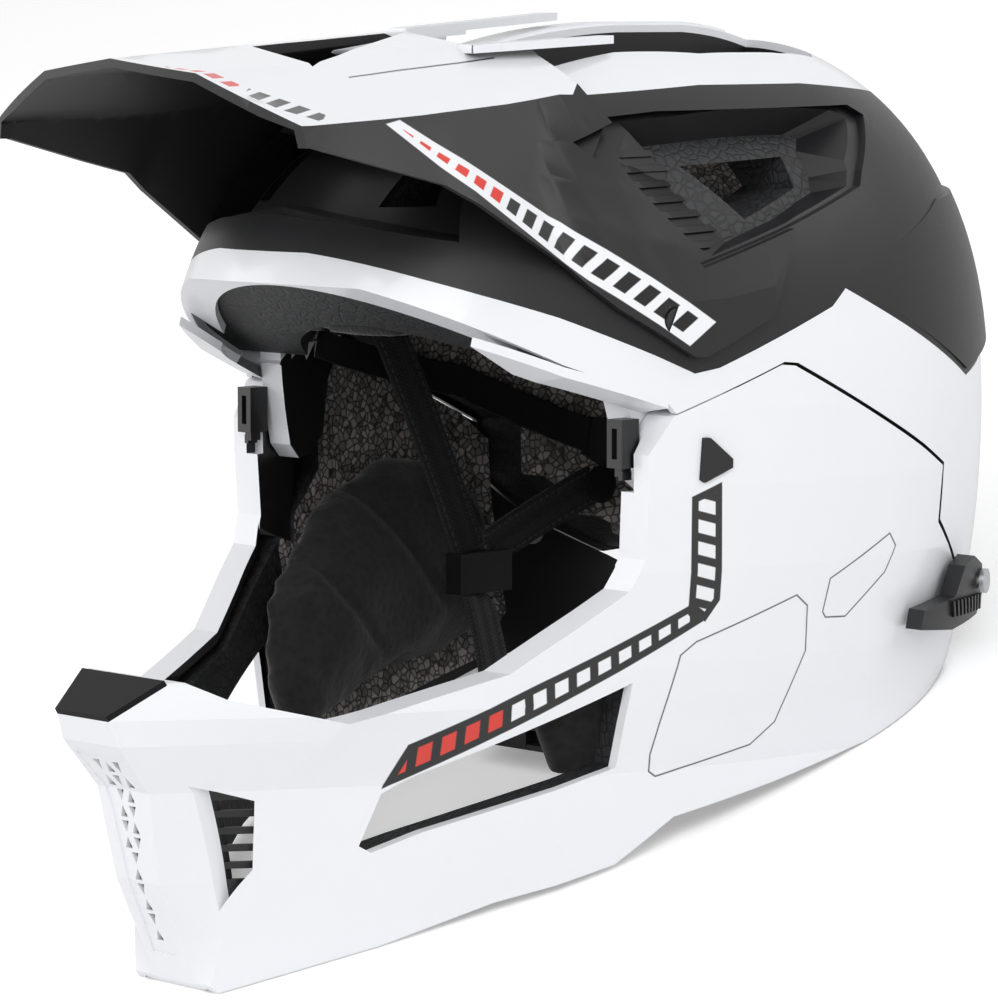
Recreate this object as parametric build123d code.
from build123d import *

import os
from dataclasses import dataclass
from math import asin, degrees, hypot, sqrt

# A full face helmet with a removable chin bar.
# It is drawn in the frame of the head that wears it: X to the wearer's left, the face towards -Y, Z up,
# with the origin on the centre plane at the height of the temples.
# At the end every piece is tipped back by rest_angle and lowered, so that the helmet stands on z = 0.

# Driving sizes of the outer dome
half_width = 105.7
front_reach = 170.7
rear_reach = 105.9
widest_line = 22.3
crown_height = 121.9
rim_depth = 99.0
taper_depth = 90.0
side_power = 2.56
fore_power = 2.39
side_taper_share = 0.139
rear_taper_share = 0.146
rest_angle = 17.3

# Driving sizes of the head cavity
head_half_width = 78.0
head_front_reach = 110.0
head_rear_reach = 91.0
head_middle = 9.0
head_crown = 95.0

# Walls, gaps and small sizes shared by many pieces
skin_wall = 2.2
overrun = 60.0
fit_gap = 0.3
seam_gap = 0.8
liner_wall = 10.0
flange_depth = 11.0
flange_wall = 3.0
bevel_drop = 6.0
lobe_inner = 20.0
lobe_outer = 11.0

# Visor
visor_wall = 2.4
visor_gap = 1.1
lip_sweep = 17.0
blade_half_width = 4.0
rail_wall = 2.4
rail_lift = 2.6
rail_end_y = -29.0
station_steps = 2
visor_nose_y = -188.8
visor_nose_z = 112.9
visor_tail_y = -17.9
visor_tail_z = 125.4
pivot_y = -58.0
pivot_z = 38.0

# Chin bar
chin_wall = 3.0
chin_foam_wall = 9.0
cap_wall = 1.8
grille_wall = 1.6
mesh_wall = 1.4
strut_inner = 10.4

# Levers
lever_wall = 6.5
lever_lift = 1.6
pin_radius = 2.2
rib_wall = 1.1
rib_pitch = 2.6
rib_count = 9

# Soft parts and harness
pad_wall = 5.5
cheek_wall = 19.0
web_width = 16.0
web_wall = 1.6
cradle_wall = 2.4
dial_radius = 13.0
dial_wall = 9.0
disc_radius = 9.0
disc_wall = 3.6
screw_radius = 3.4
peg_radius = 4.0
peg_seat_share = 0.5
recess_depth = 9.0
tray_lap = 1.8
scoop_rib_wall = 1.8
scoop_rib_pitch = 4.3
scoop_rib_lift = 1.3
funnel_rise = 3.0
ridge_lift = 1.0
tail_reach = 5.0
clip_width = 6.0
clip_length = 7.0
clip_height = 14.0
clip_wall = 1.3
plug_lift = 0.8
foot_cut = 0.6
chin_rim = 10.0
vent_margin = 2.5
grille_drop = 0.6
grille_margin = 1.4
grille_pitch = 4.6
grille_step = 4.2
grille_web = 1.1
mesh_rows = 5
mesh_pitch = 5.0
lever_y = 64.0
lever_z = -46.0
lever_bulge = 0.9
pin_head = 1.4
clip_x = 80.5
clip_y = -67.0
clip_z = -4.0
anchor_length = 12.0
web_inset = 9.0
divider_length = 13.0
buckle_length = 44.0
buckle_wall = 8.0
dial_z = -46.0
dial_grips = 14
dial_room_gap = 4.0
peg_depth = 5.0
cradle_hole = 22.0


@dataclass(frozen=True)
class Dome:
    """An egg-shaped dome: at each level a front and a rear half ellipse meet on the widest line."""

    side: float
    front: float
    rear: float
    middle: float
    crown: float

    def inset(self, depth):
        """Return the dome moved inwards by depth on every side."""
        return Dome(
            self.side - depth, self.front - depth, self.rear - depth, self.middle, self.crown - depth)

    def sizes(self, level):
        """Return the half width, the front reach and the rear reach at a level."""
        if level >= 0:
            rise = min(level / self.crown, 1)
            across = (1 - rise**side_power) ** (1 / side_power)
            along = (1 - rise**fore_power) ** (1 / fore_power)
            return self.side * across, self.front * along, self.rear * along
        drop = (level / taper_depth) ** 2
        side = self.side * (1 - side_taper_share * drop)
        rear = self.rear * (1 - rear_taper_share * drop)
        return side, self.front, rear

    def section(self, level):
        """Return the closed egg outline at a level as a face."""
        width, front, rear = self.sizes(level)
        centre = (0, self.middle)
        back = EllipticalCenterArc(centre, width, rear, start_angle=0, arc_size=180)
        face = EllipticalCenterArc(centre, width, front, start_angle=180, arc_size=180)
        return Pos(0, 0, level) * make_face(Wire([back, face]))

    def solid(self, depth=rim_depth):
        """Return the dome as one solid that reaches depth below the temples."""
        low_shares = (-1.0, -0.667, -0.333, 0.0)
        high_shares = (0.22, 0.42, 0.58, 0.71, 0.81, 0.89, 0.945, 0.98, 0.9975)
        levels = [depth * share for share in low_shares] + [self.crown * share for share in high_shares]
        return loft([self.section(level) for level in levels])

    def side_x(self, y, z):
        """Return how far the dome's side stands from the centre plane at a place of the side view."""
        width, front, rear = self.sizes(z)
        reach = front if y < self.middle else rear
        if reach <= 0:
            return 0
        return width * sqrt(max(1 - ((y - self.middle) / reach) ** 2, 0))

    def top_z(self, x, y):
        """Return the height of the dome's top at a place of the plan view, or zero outside it."""
        low, high = 0, self.crown
        if self.side_x(y, low) <= x:
            return low
        for _ in range(40):
            middle = (low + high) / 2
            if self.side_x(y, middle) > x:
                low = middle
            else:
                high = middle
        return low

    def normal(self, y, z):
        """Return the outward direction of the dome's left side at a place of the side view."""
        step = self.side / 100
        across = self.side_x(y, z)
        slope_y = (self.side_x(y + step, z) - self.side_x(y - step, z)) / (2 * step)
        slope_z = (self.side_x(y, z + step) - self.side_x(y, z - step)) / (2 * step)
        return Vector(1, -slope_y, -slope_z).normalized(), Vector(across, y, z)


shell = Dome(half_width, front_reach, rear_reach, widest_line, crown_height)
head = Dome(head_half_width, head_front_reach, head_rear_reach, head_middle, head_crown)


def side_points(shares):
    """Turn shares of the dome's reach and crown into places of the side view."""
    return [
        (widest_line + (front_reach if along < 0 else rear_reach) * along, crown_height * up)
        for along, up in shares
    ]


def front_points(shares):
    """Turn shares of the half width and crown into places of the front view."""
    return [(half_width * across, crown_height * up) for across, up in shares]


def side_plane(x):
    """Return the plane of the side view at a distance from the centre plane."""
    return Plane(origin=(x, 0, 0), x_dir=(0, 1, 0), z_dir=(1, 0, 0))


def side_prism(points, near=None, far=None):
    """Extrude a closed side view outline across the helmet, from the plane x = near to x = far."""
    near = -half_width - overrun if near is None else near
    far = half_width + overrun if far is None else far
    face = side_plane(near) * make_face(Polyline(*points, close=True))
    return extrude(face, far - near, dir=(1, 0, 0))


def flared_prism(inner, outer, near, far):
    """Loft straight from a side view outline at x = near to one at x = far."""
    faces = [
        side_plane(place) * make_face(Polyline(*points, close=True))
        for place, points in ((near, inner), (far, outer))
    ]
    return loft(faces, ruled=True)


def front_prism(points, near, far):
    """Extrude a closed front view outline along Y, from y = near to y = far."""
    face = make_face(Polyline(*[(x, near, z) for x, z in points], close=True))
    return extrude(face, far - near, dir=(0, 1, 0))


def shifted(points, along, up):
    """Move side view points by the same step."""
    return [(y + along, z + up) for y, z in points]


def widened(points, amount):
    """Move the points of a closed outline away from its middle by about the amount."""
    middle_a = sum(a for a, b in points) / len(points)
    middle_b = sum(b for a, b in points) / len(points)
    moved = []
    for a, b in points:
        length = hypot(a - middle_a, b - middle_b)
        moved.append((a + amount * (a - middle_a) / length, b + amount * (b - middle_b) / length))
    return moved


# Side view outlines of the half shell, as shares of the dome's reach and crown height
paint_line_shares = (
    (-1.361, 0.484), (-0.910, 0.472), (-0.816, 0.414), (-0.757, 0.381), (-0.652, 0.326), (-0.506, 0.235),
    (-0.435, 0.188), (-0.388, 0.199), (-0.142, 0.331), (-0.107, 0.372), (0.394, 0.135), (0.686, 0.197),
    (1.442, 0.254),
)
fold_line_shares = (
    (-1.361, 0.443), (-0.951, 0.400), (-0.889, 0.393), (-0.652, 0.216), (-0.485, 0.120),
)
seam_line_shares = (
    (-0.470, 0.096), (-0.257, 0.206), (-0.229, 0.202), (0.129, -0.016), (0.243, -0.070), (0.239, -0.211),
    (0.384, -0.328), (0.583, -0.435), (0.734, -0.410), (0.847, -0.328), (1.442, -0.263),
)
lobe_shares = (
    (-0.517, 0.180), (-0.494, 0.033), (-0.476, -0.066), (-0.447, -0.103), (-0.406, -0.098),
    (-0.365, -0.049), (-0.347, 0.115), (-0.342, 0.197),
)
lobe_neck_shares = ((-0.517, 0.144), (-0.465, 0.107), (-0.359, 0.158), (-0.359, 0.177), (-0.500, 0.177),)
crown_edge_shares = (
    (-0.459, 0.833), (-0.236, 0.856), (-0.013, 0.857), (0.441, 0.829), (0.668, 0.812), (0.668, 1.559),
    (-0.459, 1.559),
)
scoop_shares = (
    (-0.450, 0.783), (-0.357, 0.796), (0.110, 0.804), (0.158, 0.779), (0.011, 0.648), (-0.013, 0.611),
    (-0.211, 0.519), (-0.409, 0.435), (-0.517, 0.689),
)
scoop_hole_shares = (
    (-0.342, 0.689), (-0.271, 0.697), (-0.084, 0.710), (-0.060, 0.701), (-0.063, 0.623), (-0.072, 0.587),
    (-0.160, 0.537), (-0.251, 0.496), (-0.312, 0.607),
)
rib_field_shares = ((-0.517, 0.722), (-0.365, 0.722), (-0.271, 0.509), (-0.400, 0.459),)
tail_shares = (
    (-0.107, 0.390), (0.073, 0.472), (0.364, 0.570), (1.111, 0.607), (1.111, 0.246), (0.686, 0.213),
    (0.394, 0.152),
)
brow_window_shares = (
    (-0.520, 0.500), (-0.464, 0.632), (-0.378, 0.738), (0.378, 0.738), (0.464, 0.632), (0.520, 0.500),
    (0.255, 0.541), (0.000, 0.558), (-0.255, 0.541),
)
# Plan outline of the left crown channel, as shares of the half width and of the dome's reach
channel_shares = (
    (0.066, -0.459), (0.066, 0.177), (0.076, 0.365), (0.36, 0.337), (0.478, 0.214), (0.501, 0.054),
    (0.492, -0.06), (0.473, -0.154), (0.369, -0.301), (0.331, -0.459),
)
ridge_shares = ((0.052, -0.44), (0.052, 0.3), (0.0, 0.36),)
foam_low_shares = (
    (-1.361, 0.476), (-0.951, 0.432), (-0.889, 0.423), (-0.652, 0.246), (-0.517, 0.172), (-0.517, 0.209),
    (-0.336, 0.209), (-0.257, 0.217), (-0.229, 0.213), (0.139, -0.007), (0.254, -0.062), (0.250, -0.205),
    (0.394, -0.317), (0.583, -0.418), (0.734, -0.394), (0.847, -0.312), (1.442, -0.246),
)
vent_slot_shares = ((-0.312, 0.664), (-0.090, 0.681), (-0.095, 0.607), (-0.230, 0.537),)
brow_slot_shares = ((0.227, 0.574), (0.360, 0.574), (0.322, 0.673), (0.227, 0.697),)
brow_pad_shares = (
    (-1.361, 0.361), (-0.693, 0.246), (-0.494, 0.246), (-0.494, 0.361), (-0.693, 0.427), (-1.361, 0.476),
)
side_pad_shares = ((-0.412, 0.279), (0.073, 0.279), (0.129, 0.377), (-0.365, 0.459),)
rear_pad_shares = ((0.450, 0.016), (1.442, 0.016), (1.442, 0.180), (0.450, 0.180),)
cradle_shares = ((0.375, -0.049), (1.442, -0.098), (1.442, -0.295), (0.583, -0.295), (0.356, -0.148),)
band_shares = (
    (-0.482, 0.164), (-0.470, 0.230), (-0.013, 0.098), (0.372, -0.053), (0.355, -0.139), (-0.025, 0.016),
)

# Outlines of the chin bar
port_line_shares = (
    (-0.506, 0.246), (-0.520, 0.000), (-0.517, -0.246), (-0.541, -0.320), (-0.722, -0.505),
    (-0.972, -0.604), (-1.138, -0.541), (-1.191, -0.500), (-1.478, -0.500),
)
chin_low_shares = (
    (-1.478, -1.198), (-1.138, -1.202), (-1.103, -1.249), (-1.045, -1.224), (-0.898, -1.157),
    (-0.716, -1.054), (-0.523, -0.980), (-0.412, -0.878), (-0.201, -0.820), (0.101, -0.741),
    (0.280, -0.692), (0.526, -0.615), (0.639, -0.558), (0.658, -0.492), (0.583, -0.443), (0.384, -0.336),
)
side_vent_shares = (
    (-0.886, -0.783), (-0.839, -0.742), (-0.517, -0.541), (-0.523, -0.747), (-0.822, -0.878),
    (-0.898, -0.923), (-0.916, -0.906),
)
ear_foam_shares = (
    (-0.470, -0.312), (-0.716, -0.550), (-0.963, -0.656), (-1.068, -0.788), (-1.068, -1.148),
    (-0.898, -1.083), (-0.716, -0.976), (-0.523, -0.919), (-0.412, -0.829), (-0.201, -0.771),
    (0.082, -0.689), (0.205, -0.574), (0.205, -0.115), (0.110, -0.041), (-0.213, 0.148), (-0.283, 0.115),
    (-0.324, 0.000), (-0.330, -0.148), (-0.377, -0.213),
)
cheek_pad_shares = (
    (-0.564, -0.443), (-0.388, -0.230), (-0.178, -0.115), (-0.002, -0.148), (0.129, -0.279),
    (0.110, -0.574), (-0.084, -0.673), (-0.388, -0.763), (-0.564, -0.788), (-0.611, -0.656),
)
strut_shares = (
    (-0.523, 0.115), (-0.523, -0.279), (-0.424, -0.328), (-0.400, -0.164), (-0.400, 0.066),
    (-0.435, 0.131),
)
nose_clear_shares = (
    (0.274, -0.492), (0.274, -0.812), (0.255, -1.083), (-0.255, -1.083), (-0.274, -0.812),
    (-0.274, -0.492),
)
plug_shares = (
    (-0.424, 0.037), (-0.412, 0.037), (-0.368, -0.016), (-0.368, -0.037), (-0.421, -0.070),
    (-0.429, -0.062),
)
lever_foot_shares = (
    (0.101, -0.422), (0.262, -0.402), (0.299, -0.328), (0.356, -0.308), (0.432, -0.336), (0.488, -0.418),
    (0.469, -0.468), (0.280, -0.488), (0.101, -0.472),
)
# Chin bar corners at each level, as shares of the half width, the front reach and the crown height
chin_level_shares = (0.246, 0.1, -0.08, -0.28, -0.506, -0.583, -0.644, -0.763, -0.984, -1.256)
nose_corner_shares = (
    *[(0.172, -1.215)] * 5, (0.107, -1.306), (0.118, -1.29), (0.109, -1.222), (0.09, -1.192),
    (0.08, -1.108),
)
crease_shares = (
    *[(0.473, -0.957)] * 5, (0.473, -0.972), (0.416, -0.992), (0.284, -1.045), (0.218, -1.089),
    (0.151, -1.121),
)
cheek_end_share = -0.6286
cap_level = 4
grille_window_shares = (
    (0.099, -0.673), (0.061, -0.820), (0.044, -0.984), (0.047, -1.165), (-0.047, -1.165),
    (-0.044, -0.984), (-0.061, -0.820), (-0.099, -0.673),
)
front_vent_shares = ((0.170, -0.747), (0.255, -0.788), (0.241, -0.952), (0.180, -1.050),)

# Visor stations from front to back: place along the visor, spine, shoulder, fold and lower edge heights
# and half widths, as shares of the half width and the crown height
visor_place_shares = (-1.26, -1.144, -0.968, -0.87, -0.816, -0.646, -0.569, -0.446, -0.37, -0.28, -0.19)
visor_spine_shares = (0.924, 0.935, 0.952, 0.962, 0.966, 0.983, 0.99, 1.002, 1.006, 1.01, 1.01)
visor_shoulder_shares = (
    (0.312, 0.892), (0.312, 0.9), (0.303, 0.915), (0.295, 0.925), (0.284, 0.935), (0.265, 0.953),
    (0.26, 0.96), (0.25, 0.97), (0.245, 0.975), (0.24, 0.98), (0.24, 0.98),
)
visor_fold_shares = (
    (0.624, 0.78), (0.624, 0.78), (0.591, 0.79), (0.572, 0.797), (0.558, 0.802), (0.518, 0.817),
    (0.5, 0.827), (0.478, 0.846), (0.465, 0.852), (0.46, 0.86), (0.46, 0.86),
)
visor_low_shares = (
    (0.634, 0.733), (0.638, 0.73), (0.66, 0.67), (0.662, 0.638), (0.7, 0.594), (0.745, 0.447), (0.8, 0.345),
    (0.86, 0.228), (0.86, 0.228), (0.86, 0.25), (0.86, 0.25),
)
top_slot_shares = ((0.028, -0.945), (0.322, -0.973), (0.028, -0.588),)
rear_slot_shares = ((0.038, -0.6), (0.265, -0.605), (0.275, -0.59), (0.28, -0.4), (0.038, -0.4),)
rail_shares = ((0.265, -0.62), (0.345, -0.62), (0.369, -0.301), (0.312, -0.301),)
visor_back_shares = (
    (-0.459, 1.559), (-0.459, 0.834), (-0.457, 0.771), (-0.541, 0.727), (-0.409, 0.433), (-0.213, 0.519),
    (-0.289, 0.316), (-0.429, 0.225), (-0.429, 0.082), (0.356, 0.082), (0.356, 1.559),
)

paint_line = side_points(paint_line_shares)
fold_line = side_points(fold_line_shares)
seam_line = side_points(seam_line_shares)
scoop_rim = side_points(scoop_shares)
sky = crown_height + overrun
inner_start = half_width * 0.3


class Domes:
    """Nested dome solids, each lofted once and used again by its depth."""

    def __init__(self, base, make):
        self.base = base
        self.make = make
        self.made = {}

    def at(self, depth):
        """Return the solid that lies depth inside the base dome."""
        if depth not in self.made:
            self.made[depth] = self.make(depth)
        return self.made[depth]

    def wall(self, outer, inner):
        """Return the wall between two depths."""
        key = (outer, inner)
        if key not in self.made:
            self.made[key] = self.at(outer) - self.at(inner)
        return self.made[key]


def shell_dome(depth):
    """Return the half shell's dome at a depth, reaching a little lower the deeper it lies."""
    return shell.inset(depth).solid(rim_depth + depth / 2)


def head_dome(depth):
    """Return the head cavity's dome at a depth inside it."""
    return head.inset(depth).solid(rim_depth + depth / 2)


def chin_face(level, depth, nose, crease):
    """Return the chin bar's outline at a level: a rear half ellipse, two flat cheeks and a blunt nose."""
    width, front, rear = shell.sizes(max(level, -taper_depth))
    width, front, rear = width - depth, front - depth, rear - depth
    centre = (0, widest_line)
    turn = degrees(asin(-cheek_end_share))
    back = EllipticalCenterArc(centre, width, rear, start_angle=0, arc_size=180)
    left = EllipticalCenterArc(centre, width, front, start_angle=180, arc_size=turn)
    right = EllipticalCenterArc(centre, width, front, start_angle=-turn, arc_size=turn)
    corner_x = half_width * crease[0] - depth * 0.86
    corner_y = widest_line + front_reach * crease[1] + depth * 0.52
    nose_x = half_width * nose[0] - depth * 0.56
    nose_edge = widest_line + front_reach * nose[1] + depth
    path = Polyline(left @ 1, (-corner_x, corner_y), (-nose_x, nose_edge), (nose_x, nose_edge),
                    (corner_x, corner_y), right @ 0)
    return Pos(0, 0, level) * make_face(Wire([back, left, *path.edges(), right]))


def chin_dome(depth):
    """Return the chin bar's faceted form at a depth, as one solid."""
    levels = [crown_height * share for share in chin_level_shares]
    faces = [
        chin_face(level, depth, nose, crease)
        for level, nose, crease in zip(levels, nose_corner_shares, crease_shares)
    ]
    return loft(faces, ruled=True)


domes = Domes(shell, shell_dome)
heads = Domes(head, head_dome)
chins = Domes(shell, chin_dome)


def tray(forms, cover, pocket, outer, floor, back):
    """Return a tray under an opening: a wall round the pocket and a floor between two depths."""
    return (forms.wall(outer, back) & cover) - (pocket & forms.wall(outer, floor))


def mirrored(name, piece):
    """Return the left piece and its mirror image as two named nodes."""
    return {f"{name}_left": piece, f"{name}_right": mirror(piece, Plane.YZ)}


def plan_points(shares):
    """Turn shares of the half width and of the dome's reach into places of the plan view."""
    return [
        (half_width * across, widest_line + (front_reach if along < 0 else rear_reach) * along)
        for across, along in shares
    ]


def plan_prism(points):
    """Extrude a closed plan view outline upwards through the crown."""
    low = crown_height * 0.6
    return extrude(Pos(0, 0, low) * make_face(Polyline(*points, close=True)), sky - low, dir=(0, 0, 1))


def crown_channels():
    """Return the prisms of the two crown channels and one prism that covers them and the ridge between."""
    left = plan_points(channel_shares)
    pocket = plan_prism(left)
    cover = widened(left[2:] + [(-x, y) for x, y in left[:1:-1]], tray_lap)
    return pocket + mirror(pocket, Plane.YZ), plan_prism(cover)


def tail():
    """Return the raised tail round the back of the upper shell, which grows out of the dome rearwards."""
    swept = Dome(half_width, front_reach, rear_reach + tail_reach, widest_line, crown_height)
    levels = [crown_height * share for share in (-0.05, 0.1, 0.25, 0.4, 0.55, 0.68)]
    body = loft([swept.section(level) for level in levels])
    return (body - domes.at(skin_wall)) & side_prism(side_points(tail_shares))


def half_shell():
    """Return the white lower shell, the black upper shell and the crown panel beside the channel."""
    skin = domes.wall(0, skin_wall)
    lower_band = side_prism(paint_line + seam_line[::-1] + fold_line[::-1])
    lower = skin & lower_band
    bevel_outer = fold_line + shifted(fold_line, 0, flange_wall)[::-1]
    bevel_inner = shifted(bevel_outer, 0, -bevel_drop)
    ring = domes.wall(0, flange_depth)
    inner_x = half_width * 0.6
    outer_x = half_width * 0.95
    flange = ring & flared_prism(bevel_inner, bevel_outer, inner_x, outer_x)
    lower += flange
    lower += mirror(flange, Plane.YZ)
    lower += ring & side_prism(bevel_outer, -inner_x, inner_x)
    lower += domes.wall(lobe_outer, lobe_inner) & side_prism(side_points(lobe_shares))
    lower += domes.wall(0, lobe_inner) & side_prism(side_points(lobe_neck_shares))

    black_band = side_prism(paint_line + [(front_reach + overrun, sky), (-front_reach - overrun, sky)])
    crown_region = side_prism(side_points(crown_edge_shares))
    upper = (skin & black_band) - crown_region
    upper += tail()
    upper -= side_prism(scoop_rim)
    upper -= front_prism(front_points(brow_window_shares), -front_reach - overrun, -widest_line)
    peg = peg_body(fit_gap / 3, peg_depth)
    upper -= peg
    upper -= mirror(peg, Plane.YZ)
    channels, cover = crown_channels()
    crown = (skin & crown_region) - channels
    ridge = plan_points(ridge_shares)
    ridge = plan_prism([*ridge, *[(-x, y) for x, y in ridge[1::-1]]])
    crown += (shell_dome(-ridge_lift) - domes.at(skin_wall / 2)) & ridge
    return {"lower_shell": lower, "upper_shell": upper, "crown_panel": crown}


def recess_covers():
    """Return the regions that the trays under the shell's openings take, as left, brow and crown prisms."""
    scoop = side_prism(widened(scoop_rim, tray_lap), inner_start)
    outline = widened(front_points(brow_window_shares), tray_lap)
    brow = front_prism(outline, -front_reach - overrun, -widest_line)
    return scoop, brow, crown_channels()[1]


def funnel(shrink):
    """Return the scoop's pocket: a closed form that narrows from the scoop's rim to its hole."""
    rim = widened(scoop_rim, -shrink)
    hole = widened(side_points(scoop_hole_shares), -shrink)
    outer = []
    for y, z in rim:
        outward, place = shell.normal(y, z)
        outer.append(place + outward * funnel_rise)
    deep = shell.inset(flange_depth + funnel_rise)
    inner = [Vector(deep.side_x(y, z), y, z) for y, z in hole]
    rings = (outer, inner)
    faces = []
    count = len(rim)
    for ring in rings:
        middle = sum(ring, Vector()) * (1 / count)
        for index in range(count):
            faces.append(triangle(ring[index], ring[(index + 1) % count], middle))
    for index in range(count):
        after = (index + 1) % count
        faces.append(triangle(rings[0][index], rings[0][after], rings[1][index]))
        faces.append(triangle(rings[1][index], rings[1][after], rings[0][after]))
    return Solid(Shell(faces))


def triangle(first, second, third):
    """Return the flat face between three places."""
    return make_face(Polyline(first, second, third, close=True)).face()


def trays():
    """Return the scoop trays with ribs, the brow insert and the crown channel."""
    scoop_cover, brow_cover, crown_cover = recess_covers()
    pocket = funnel(0)
    scoop = (domes.wall(skin_wall, flange_depth) & scoop_cover) - pocket
    ribbed = (pocket - funnel(scoop_rib_lift)) & domes.wall(skin_wall, flange_depth)
    ribbed &= side_prism(side_points(rib_field_shares), inner_start)
    top = crown_height * rib_field_shares[0][1]
    low = crown_height * rib_field_shares[3][1]
    for count in range(int((top - low) / scoop_rib_pitch)):
        z = top - scoop_rib_pitch * (count + 0.5)
        near, far = -front_reach, widest_line
        strip = [(near, z), (far, z), (far, z - scoop_rib_wall), (near, z - scoop_rib_wall)]
        scoop += ribbed & side_prism(strip, inner_start)
    scoop = max(scoop.solids(), key=lambda solid: solid.volume)
    brow_pocket = front_prism(
        widened(front_points(brow_window_shares), -tray_lap), -front_reach - overrun, -widest_line)
    brow = tray(domes, brow_cover, brow_pocket, skin_wall, recess_depth, flange_depth)
    slot = front_prism(front_points(brow_slot_shares), -front_reach - overrun, -widest_line)
    brow -= slot
    brow -= mirror(slot, Plane.YZ)
    crown = tray(domes, crown_cover, crown_channels()[0], skin_wall, recess_depth, flange_depth)
    nodes = mirrored("scoop_tray", scoop)
    nodes["brow_insert"] = brow
    nodes["crown_channel"] = crown
    return nodes


def peg_body(gap, depth):
    """Return the left visor peg, or with a gap the blind hole that holds it."""
    length = depth + visor_gap + visor_wall * peg_seat_share + gap
    middle = shell.side_x(pivot_y, pivot_z) - depth + length / 2
    return Pos(middle, pivot_y, pivot_z) * Rot(0, 90, 0) * Cylinder(peg_radius + gap, length)


def foams():
    """Return the outer foam and the softer inner liner, cut by the recesses and the air vents."""
    corners = [(front_reach + overrun, sky), (-front_reach - overrun, sky)]
    region = side_prism(side_points(foam_low_shares) + corners)
    outer = (domes.at(skin_wall) - heads.at(-liner_wall)) & region
    scoop_cover, brow_cover, crown_cover = recess_covers()
    recess = domes.wall(skin_wall, flange_depth)
    for cover in (scoop_cover, mirror(scoop_cover, Plane.YZ), brow_cover, crown_cover):
        outer -= recess & cover
    inner = heads.wall(-liner_wall, 0) & region
    side_vent = side_prism(side_points(vent_slot_shares))
    slot = front_prism(front_points(brow_slot_shares), -front_reach - overrun, -head_front_reach / 2)
    cutters = (side_vent, slot, mirror(slot, Plane.YZ))
    dial_room = Pos(0, head_rear_reach + head_middle, dial_z) * Rot(90, 0, 0) * Cylinder(
        dial_radius + dial_room_gap, 4 * dial_wall)
    for cutter in (*cutters, dial_room):
        outer -= cutter
        inner -= cutter
    pocket = peg_body(fit_gap / 3, peg_depth)
    for cutter in (pocket, mirror(pocket, Plane.YZ)):
        outer -= cutter
    return {"outer_foam": outer, "inner_liner": inner}


def comfort_pads():
    """Return the brow, side and rear pads that line the head cavity."""
    layer = heads.wall(fit_gap, pad_wall)
    brow = layer & side_prism(side_points(brow_pad_shares))
    side = layer & side_prism(side_points(side_pad_shares), 0)
    rear = layer & side_prism(side_points(rear_pad_shares))
    nodes = {"brow_pad": brow, "rear_pad": rear}
    nodes.update(mirrored("side_pad", side))
    crown_low = head_crown * 0.5
    crown = None
    for across in (-1, 0, 1):
        middle = across * head_half_width * 0.37
        half = head_half_width * 0.09
        reach = head_front_reach * (0.42 if across else 0.5)
        bar = Pos(middle, 0, crown_low) * extrude(
            make_face(Polyline((-half, -reach), (half, -reach), (half, reach), (-half, reach), close=True)),
            head_crown, dir=(0, 0, 1))
        pad = layer & bar
        crown = pad if crown is None else crown + pad
    nodes["crown_pad"] = crown
    return nodes


def on_dome(dome, y, z, lift):
    """Return the plane that touches the dome's left side at a place, raised inwards by lift."""
    outward, place = dome.normal(y, z)
    return Plane(origin=place - outward * lift, x_dir=(0, 1, 0), z_dir=-outward)


def damping_discs():
    """Return the soft damping discs, each a ring with a hub and spokes, spread over the liner."""
    places = ((-0.45, 0.75), (0.22, 0.66), (0.45, 0.7), (-0.6, 0.62), (0.6, 0.42), (0.33, 0.26))
    discs = []
    for along, up in places:
        y = head_middle + head_front_reach * along
        plane = on_dome(head, y, head_crown * up, disc_wall * 0.2)
        ring = extrude(Circle(disc_radius) - Circle(disc_radius * 0.78), disc_wall)
        ring += extrude(Circle(disc_radius * 0.25), disc_wall)
        for turn in (0, 60, 120):
            rib = Box(disc_radius * 1.7, rib_wall, disc_wall / 2)
            ring += Rot(0, 0, turn) * Pos(0, 0, disc_wall / 4) * rib
        disc = plane * ring
        discs += [disc, mirror(disc, Plane.YZ)]
    return {"damping_discs": Compound(children=[solid for disc in discs for solid in disc.solids()])}


def between(table, index):
    """Return the row of a station table at a fractional index, between its two neighbours."""
    low = min(int(index), len(table) - 2)
    share = index - low
    if isinstance(table[low], tuple):
        return tuple(a + (b - a) * share for a, b in zip(table[low], table[low + 1]))
    return table[low] + (table[low + 1] - table[low]) * share


def visor_outline(index, depth):
    """Return the visor's half outline at one station, from the spine down to the lower edge."""
    place = widest_line + front_reach * between(visor_place_shares, index)
    clear = visor_gap + visor_wall
    corners = [(0, crown_height * between(visor_spine_shares, index))]
    for table in (visor_shoulder_shares, visor_fold_shares):
        across, up = between(table, index)
        corners.append((half_width * across, crown_height * up))
    points = []
    for (x1, z1), (x2, z2) in zip(corners, corners[1:]):
        for share in (0, 0.34, 0.67):
            x = x1 + (x2 - x1) * share
            z = max(z1 + (z2 - z1) * share, shell.top_z(x, place) + clear)
            points.append((x * (1 - depth * 0.01), z - depth))
    across, up = between(visor_low_shares, index)
    fold, low = corners[-1], (half_width * across, crown_height * up)
    fold = (fold[0], max(fold[1], shell.top_z(fold[0], place) + clear))
    for share in (0, 0.2, 0.4, 0.6, 0.8, 1):
        z = fold[1] + (low[1] - fold[1]) * share
        x = fold[0] + (low[0] - fold[0]) * share
        if share:
            x = max(x, shell.side_x(place, z) + clear)
        points.append((x - depth * (1 if share else 0.8), z - (0 if share else depth * 0.5)))
    return place, points


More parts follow.
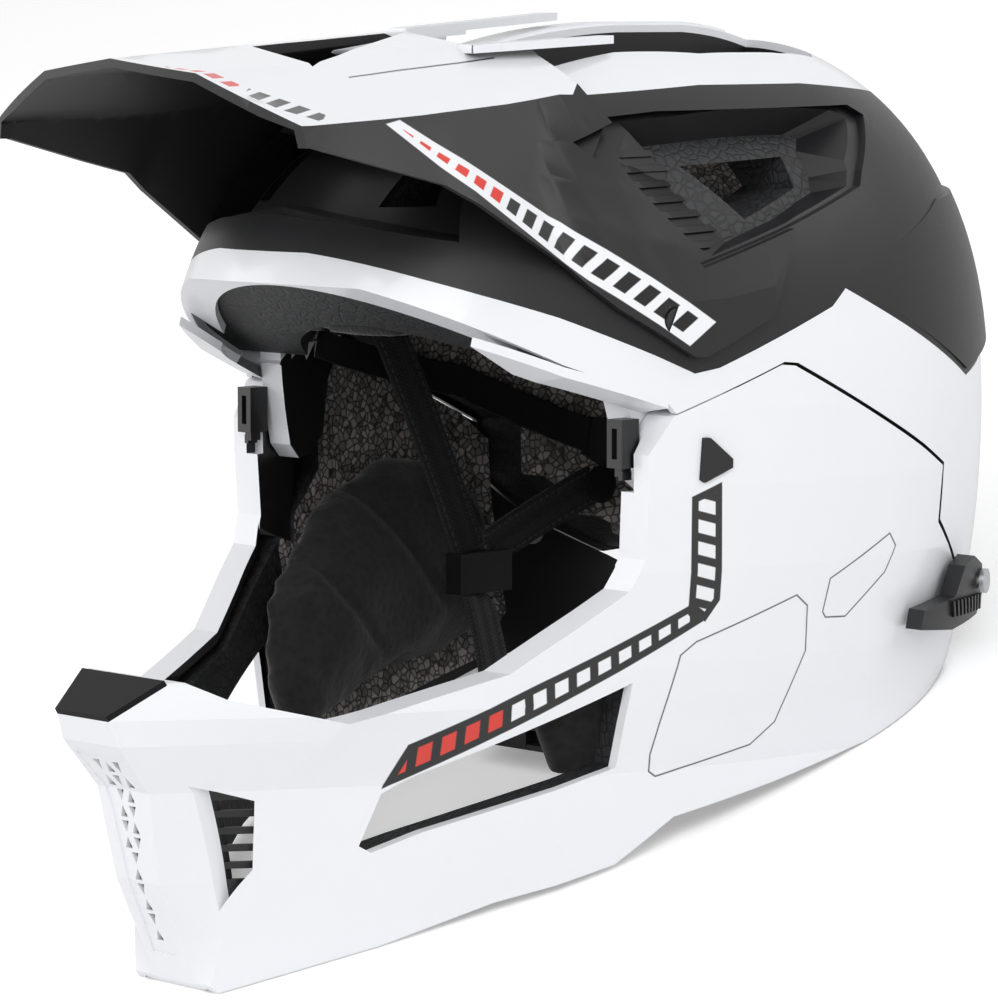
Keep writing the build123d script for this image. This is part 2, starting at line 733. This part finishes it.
def visor_shell():
    """Return the visor: a thin creased peak lofted straight through closely set stations."""
    faces = []
    for step in range(station_steps * (len(visor_place_shares) - 1) + 1):
        place, outer = visor_outline(step / station_steps, 0)
        place, inner = visor_outline(step / station_steps, visor_wall)
        ring = outer[::-1] + [(-x, z) for x, z in outer[1:]] + [(-x, z) for x, z in inner[:0:-1]] + inner
        points = [(x, place, z) for x, z in ring]
        faces.append(make_face(Polyline(*points, close=True)))
    return loft(faces, ruled=True)


def visor_parts():
    """Return the visor with its slots, its centre blade and its two crown rails, and its pivot pegs."""
    peak = visor_shell()
    peak -= side_prism(side_points(visor_back_shares))
    lip = Plane.XY * make_face(
        [ThreePointArc((-half_width, visor_nose_y + 2 * lip_sweep), (0, visor_nose_y),
                       (half_width, visor_nose_y + 2 * lip_sweep)),
         Polyline((half_width, visor_nose_y + 2 * lip_sweep), (half_width, visor_nose_y - overrun),
                  (-half_width, visor_nose_y - overrun), (-half_width, visor_nose_y + 2 * lip_sweep))])
    peak -= extrude(lip, sky, dir=(0, 0, 1))
    for shares in (top_slot_shares, rear_slot_shares):
        slot = plan_prism(plan_points(shares))
        peak -= slot
        peak -= mirror(slot, Plane.YZ)
    slope = (visor_tail_z - visor_nose_z) / (visor_tail_y - visor_nose_y)
    blade_front = widest_line + front_reach * top_slot_shares[2][1] - rail_wall
    front_top = visor_nose_z + slope * (blade_front - visor_nose_y)
    blade_top = [(blade_front, front_top), (visor_tail_y, visor_tail_z)]
    blade = blade_top + shifted(blade_top, 0, -rail_wall)[::-1]
    peak += side_prism(blade, -blade_half_width, blade_half_width)
    (near, start), (far, end) = plan_points(rail_shares)[1:3]
    front_top = crown_height * between(visor_shoulder_shares, 5)[1]
    rear_top = shell.top_z(far, end) + rail_lift + rail_wall
    rail_top = [(start, front_top), (end, rear_top)]
    rail = side_prism(rail_top + shifted(rail_top, 0, -rail_wall)[::-1], 0)
    rail &= plan_prism(plan_points(rail_shares))
    peak += rail
    peak += mirror(rail, Plane.YZ)
    bore = peg_body(fit_gap, peg_depth)
    peak -= bore
    nodes = {"visor": peak - mirror(bore, Plane.YZ)}
    nodes.update(mirrored("visor_peg", peg_body(0, peg_depth)))
    return nodes


def ear_plane(y, z, lift):
    """Return the plane that touches the left ear at a place, raised outwards by lift, with Z outwards."""
    outward, place = shell.normal(y, z)
    flat = Vector(outward.X, outward.Y, 0).normalized()
    along = Vector(-flat.Y, flat.X, 0)
    return Plane(origin=place + flat * lift, x_dir=along, z_dir=flat)


def chin_region():
    """Return the chin bar's side view outline between its seam, its lower edge and the face opening."""
    seam = shifted(seam_line, -seam_gap, -seam_gap)[:7]
    rear = side_points(chin_low_shares)
    port = side_points(port_line_shares)[1:]
    return side_prism([*port[::-1], *seam, *rear[::-1]])


def catch_room():
    """Return the room that the two front catches take in the struts, open at the top."""
    room = Pos(clip_x, clip_y, clip_z + clip_height) * Box(
        clip_width + 2 * seam_gap, clip_length + 2 * seam_gap, 3 * clip_height)
    return room + mirror(room, Plane.YZ)


def chin_bar():
    """Return the chin bar's shell with its rim, struts and openings, and the foam behind it."""
    region = chin_region()
    body = chins.wall(0, chin_wall) & region
    port = side_points(port_line_shares)[2:]
    rim = side_prism(port + shifted(port, 0, -flange_wall)[::-1])
    body += chins.wall(0, chin_rim) & rim & region
    strut = side_prism(side_points(strut_shares))
    body += (chins.wall(0, strut_inner) & strut & region) - catch_room()
    vent = side_prism(side_points(side_vent_shares))
    body -= vent
    front = -front_reach - overrun
    window = front_prism(front_points(grille_window_shares), front, -front_reach / 2)
    body -= window
    opening = front_prism(front_points(front_vent_shares), front, -front_reach / 2)
    for cutter in (opening, mirror(opening, Plane.YZ)):
        body -= cutter
    plug = side_prism(side_points(plug_shares), inner_start)
    for cutter in (plug, mirror(plug, Plane.YZ)):
        body -= cutter
    pin_hole = lever_plane() * Cylinder(pin_radius + fit_gap / 3, 4 * lever_wall)
    for cutter in (pin_hole, mirror(pin_hole, Plane.YZ)):
        body -= cutter

    foam_region = side_prism(side_points(ear_foam_shares))
    foam = (chins.wall(chin_wall, chin_wall + chin_foam_wall) & foam_region) - side_prism(
        widened(side_points(side_vent_shares), vent_margin))
    foam -= front_prism(front_points(nose_clear_shares), front, -front_reach / 2)
    foam -= strut
    foam -= rim
    plug_body = (shell_dome(-plug_lift) - chins.at(chin_wall)) & side_prism(
        widened(side_points(plug_shares), -fit_gap / 3), inner_start)
    nodes = {"chin_shell": body, "chin_foam": foam}
    nodes.update(mirrored("rubber_plug", plug_body))
    return nodes


def nose_parts():
    """Return the nose cap, the perforated nose grille and the meshes of the front vents."""
    front = -front_reach - overrun
    frame = chins.wall(grille_drop, grille_drop + grille_wall)
    outline = front_points(grille_window_shares)
    grille = frame & front_prism(outline, front, -front_reach / 2)
    holes = []
    top = outline[0][1] - grille_margin
    low = outline[3][1] + grille_margin
    rows = int((top - low) / grille_pitch)
    for row in range(rows):
        z = top - grille_pitch * (row + 0.5)
        half = half_span(outline, z) - grille_margin
        count = max(int(2 * half / grille_step), 1)
        for step in range(count):
            x = (step + 0.5 - count / 2) * grille_step
            up = 1 if (row + step) % 2 else -1
            side = grille_step / 2 - grille_web / 2
            tall = up * (grille_pitch / 2 - grille_web / 2)
            holes.append(front_prism([(x - side, z - tall), (x + side, z - tall), (x, z + tall)],
                                     front, -front_reach / 2))
    grille -= holes
    top_level = crown_height * chin_level_shares[cap_level]
    low_level = crown_height * chin_level_shares[cap_level + 1]
    corners = []
    for level, share in (
        (top_level, nose_corner_shares[cap_level]), (low_level, nose_corner_shares[cap_level + 1])):
        corners.append((half_width * share[0], widest_line + front_reach * share[1], level))
    (wide, top_y, top_z), (slim, low_y, low_z) = corners
    slope = Vector(0, low_z - top_z, top_y - low_y).normalized()
    face = make_face(Polyline((-wide, top_y, top_z), (wide, top_y, top_z), (slim, low_y, low_z),
                              (-slim, low_y, low_z), close=True))
    cap = extrude(face, cap_wall, dir=slope)
    outline = front_points(front_vent_shares)
    mesh = chins.wall(chin_wall, chin_wall + mesh_wall) & front_prism(
        widened(outline, tray_lap), front, -front_reach / 2)
    opening = front_prism(outline, front, -front_reach / 2)
    near, far = half_width * 0.1, half_width * 0.35
    for row in range(mesh_rows):
        z = outline[0][1] - mesh_pitch * (row + 1)
        low = z - mesh_pitch * 0.6
        bar = front_prism([(near, z), (far, z), (far, low), (near, low)], front, -front_reach / 2)
        mesh -= bar & opening
    nodes = {"nose_grille": grille, "nose_cap": cap}
    nodes.update(mirrored("front_vent_mesh", mesh))
    return nodes


def half_span(outline, z):
    """Return the half width of a front view outline at a height."""
    right = [point for point in outline if point[0] > 0]
    for (x1, z1), (x2, z2) in zip(right, right[1:]):
        if z2 <= z <= z1:
            return x1 + (x2 - x1) * (z1 - z) / (z1 - z2)
    return right[-1][0]


def lever_plane():
    """Return the plane of the left lever's pin, with Z pointing out of the ear."""
    return ear_plane(lever_y, lever_z, 0)


def levers():
    """Return the two release levers with their thumb ribs, and the pins that they turn on."""
    outline = side_points(lever_foot_shares)
    body = shell_dome(-lever_lift - lever_wall) - shell_dome(-lever_lift)
    body &= side_prism(outline, inner_start)
    plane = lever_plane()
    body -= plane * Cylinder(pin_radius + fit_gap, 6 * lever_wall)
    ribs = shell_dome(-lever_lift - lever_wall - rib_wall) - shell_dome(-lever_lift - lever_wall)
    for count in range(rib_count):
        y = outline[1][0] + rib_pitch * (count - 1)
        z = outline[1][1] - rib_wall
        slope = [(y, z), (y + rib_pitch, z - rib_pitch * 2)]
        strip = slope + shifted(slope, rib_wall, 0)[::-1]
        body += ribs & side_prism(strip, inner_start)
    nodes = mirrored("release_lever", body)
    length = lever_lift + lever_wall + pin_head + chin_wall + pin_head
    length += fit_gap * 3
    shank = Pos(0, 0, length / 2 - chin_wall - pin_head - fit_gap * 3) * Cylinder(pin_radius, length)
    button = Cylinder(pin_radius * 1.7, pin_head)
    head_out = Pos(0, 0, lever_lift + lever_wall + lever_bulge + pin_head / 2) * button
    head_in = Pos(0, 0, -chin_wall - pin_head / 2 - 5 * fit_gap) * button
    nodes.update(mirrored("lever_pin", plane * (shank + head_out + head_in)))
    return nodes


def front_latches():
    """Return the catches on the temple lobes and the hooks of the chin bar that slide up into them."""
    middle_x, middle_y, low_z = clip_x, clip_y, clip_z
    block = Pos(middle_x, middle_y, low_z + clip_height / 2) * Box(clip_width, clip_length, clip_height)
    room = Pos(middle_x, middle_y, low_z + (clip_height - clip_wall) / 2) * Box(
        clip_width - 2 * clip_wall, clip_length - 2 * clip_wall, clip_height - clip_wall)
    window = Pos(middle_x, middle_y - clip_length / 2, low_z + clip_height / 2) * Box(
        clip_width - 3 * clip_wall, clip_length, clip_height - 4 * clip_wall)
    catch = block - room - window
    tongue_height = clip_height - clip_wall - 3 * fit_gap
    tongue_width = clip_width - 2 * clip_wall - 2 * fit_gap
    tongue_length = clip_length - 2 * clip_wall - 2 * fit_gap
    hook = Pos(middle_x, middle_y, low_z + tongue_height / 2 - clip_wall) * Box(
        tongue_width, tongue_length, tongue_height + 2 * clip_wall)
    reach = shell.side_x(clip_y - fit_gap, low_z) - strut_inner - middle_x + clip_wall * 2
    foot = Pos(middle_x + reach / 2, middle_y, low_z - clip_wall * 1.5 - fit_gap) * Box(
        reach, tongue_length, 2 * clip_wall)
    strut = chins.wall(0, strut_inner) & side_prism(side_points(strut_shares))
    strut = (strut & chin_region()) - catch_room()
    nodes = mirrored("front_catch", catch)
    nodes.update(mirrored("front_hook", (hook + foot) - strut))
    return nodes


def cheek_pads():
    """Return the two cheek cushions, each a broad base with a smaller crown."""
    depth = chin_wall + chin_foam_wall + fit_gap
    outline = side_points(cheek_pad_shares)
    layers = ((0, 0.45, 0), (0.4, 0.75, -0.2), (0.7, 1, -0.55))
    pad = None
    for start, end, draw in layers:
        wall = domes.wall(depth + cheek_wall * start, depth + cheek_wall * end)
        layer = wall & side_prism(widened(outline, cheek_wall * draw), inner_start)
        pad = layer if pad is None else pad + layer
    return mirrored("cheek_pad", pad & chins.at(depth))


def strip_between(start, end, width, wall):
    """Return a flat web between two points of one side, its broad face towards the wearer."""
    start, end = Vector(*start), Vector(*end)
    line = end - start
    across = Vector(0, line.Z, -line.Y).normalized() * (width / 2)
    normal = line.cross(across).normalized()
    first = start - normal * (wall / 2)
    corners = [first - across, first + across, first + across + line, first - across + line]
    return extrude(make_face(Polyline(*corners, close=True)), wall, dir=normal)


def strap_places():
    """Return the front and rear anchors, the divider and the buckle end of the left side's straps."""
    front_level = crown_height * 0.25
    rear_level = -crown_height * 0.22
    front_y = -head_front_reach * 0.26
    rear_y = head_rear_reach * 0.62
    front = (head.side_x(front_y, front_level) - web_inset, front_y, front_level)
    rear = (head.side_x(rear_y, rear_level) - web_inset, rear_y, rear_level)
    divider = (head_half_width * 0.7, head_middle * 0.5, -crown_height * 0.42)
    chin = (buckle_length / 2 + web_wall, head_middle - web_width * 1.5, -crown_height * 0.78)
    return front, rear, divider, chin


def harness():
    """Return the chin strap: webs, anchors, dividers, the buckle base and its sliding tongue."""
    front, rear, divider, chin = strap_places()
    gap = web_wall + fit_gap
    step = divider_length / 2 + fit_gap
    width = web_width * 0.8
    ends = [(divider[0], divider[1] + way * step / 2, divider[2] + step) for way in (-1, 1)]
    front_web = strip_between(front, ends[0], width, web_wall)
    rear_web = strip_between(rear, ends[1], width, web_wall)
    webs = [front_web, Pos(-gap, 0, 0) * rear_web]
    for index, place in enumerate((front, rear)):
        webs[index] -= Pos(*place) * Rot(0, 90, 0) * Cylinder(screw_radius + fit_gap / 3, 4 * anchor_length)
    side = Compound(children=[solid for web in webs for solid in web.solids()])
    low_web = strip_between((divider[0], divider[1], divider[2] - step), chin, web_width, web_wall)
    nodes = mirrored("side_web", side)
    nodes.update(mirrored("chin_web", low_web))
    clip = Pos(divider[0] - gap / 2, divider[1], divider[2]) * Box(
        gap * 2 + 2 * web_wall, web_width * 1.4, divider_length)
    for web in (*webs, low_web):
        clip -= web
    nodes.update(mirrored("strap_divider", clip))
    anchors = []
    for place in (front, rear):
        length = anchor_length
        middle = Vector(*place) + Vector(length / 2 - 2.4 * web_wall - gap, 0, 0)
        anchors.append(Pos(middle.X, middle.Y, middle.Z) * Rot(0, 90, 0) * Cylinder(screw_radius, length))
        anchors.append(Pos(place[0] - 2.4 * web_wall - gap, place[1], place[2]) * Rot(0, 90, 0) * Cylinder(
            screw_radius * 1.8, web_wall))
    left = Compound(children=[solid for anchor in anchors for solid in anchor.solids()])
    nodes.update(mirrored("strap_anchor", left))
    middle = Pos(0, chin[1], chin[2])
    half = Box(buckle_length / 2 - fit_gap / 2, web_width * 1.5, buckle_wall)
    base = Pos(buckle_length / 4 + fit_gap / 4, 0, 0) * half
    room = Pos(buckle_length / 8, fit_gap - web_width / 2, 0) * Box(
        buckle_length / 4 + 2 * fit_gap, web_width * 2, buckle_wall / 2 + 2 * fit_gap)
    tongue = Pos(-buckle_length / 4 - fit_gap / 4, 0, 0) * half
    tongue += Pos(buckle_length / 8 - fit_gap, 0, 0) * Box(
        buckle_length / 4 - fit_gap, web_width, buckle_wall / 2)
    nodes["buckle_base"] = middle * (base - room)
    nodes["buckle_tongue"] = middle * tongue
    return nodes


def cradle():
    """Return the occipital cradle, its side bands, the dial's housing and the fit dial."""
    layer = heads.wall(fit_gap, fit_gap + cradle_wall)
    outline = side_points(cradle_shares)
    shelf = layer & side_prism(outline)
    hole = Rot(90, 0, 0) * Cylinder(cradle_hole / 2, overrun * 2)
    for across in (-1, 1):
        shelf -= Pos(across * cradle_hole * 1.1, head_rear_reach, -crown_height * 0.17) * hole
    band = layer & side_prism(side_points(band_shares), 0)
    dial_y = head_middle + head.sizes(dial_z)[2] + dial_wall
    housing = Rot(90, 0, 0) * Cylinder(dial_radius * 0.8, dial_wall * 0.9)
    housing = Pos(0, dial_y - dial_wall * 1.1, dial_z) * housing
    housing -= heads.at(fit_gap)
    axle = Pos(0, dial_y - dial_wall * 0.3, dial_z) * Rot(90, 0, 0) * Cylinder(pin_radius, dial_wall * 1.6)
    knob = Circle(dial_radius)
    for count in range(dial_grips):
        turn = 360 / dial_grips * count
        knob -= Rot(0, 0, turn) * Pos(dial_radius, 0) * Circle(dial_radius * 0.12)
    knob = Rot(90, 0, 0) * extrude(knob - Circle(pin_radius + fit_gap), dial_wall)
    knob = Pos(0, dial_y + dial_wall, dial_z) * knob
    nodes = {"occipital_cradle": shelf, "dial_housing": housing + axle, "fit_dial": knob}
    nodes.update(mirrored("cradle_band", band))
    return nodes


def build():
    """Return every named piece of the helmet in the head's frame."""
    nodes = {}
    makers = (half_shell, trays, foams, comfort_pads, damping_discs, harness, cradle, visor_parts,
              chin_bar, nose_parts, front_latches, cheek_pads, levers)
    for maker in makers:
        nodes.update(maker())
    return nodes


def stand(nodes):
    """Tip every piece back, cut the chin bar's foot flat and set the middle over the origin."""
    tipped = {name: Rot(-rest_angle, 0, 0) * piece for name, piece in nodes.items()}
    floor = tipped["chin_shell"].bounding_box().min.Z + foot_cut
    slab = Pos(0, 0, floor - overrun / 2) * Box(4 * half_width, 4 * front_reach, overrun)
    tipped["chin_shell"] -= slab
    boxes = [piece.bounding_box() for piece in tipped.values()]
    middle = (min(box.min.Y for box in boxes) + max(box.max.Y for box in boxes)) / 2
    return {name: Pos(0, -middle, -floor) * piece for name, piece in tipped.items()}


os.makedirs("parts", exist_ok=True)
for node, piece in stand(build()).items():
    export_step(piece, f"parts/{node}.step")
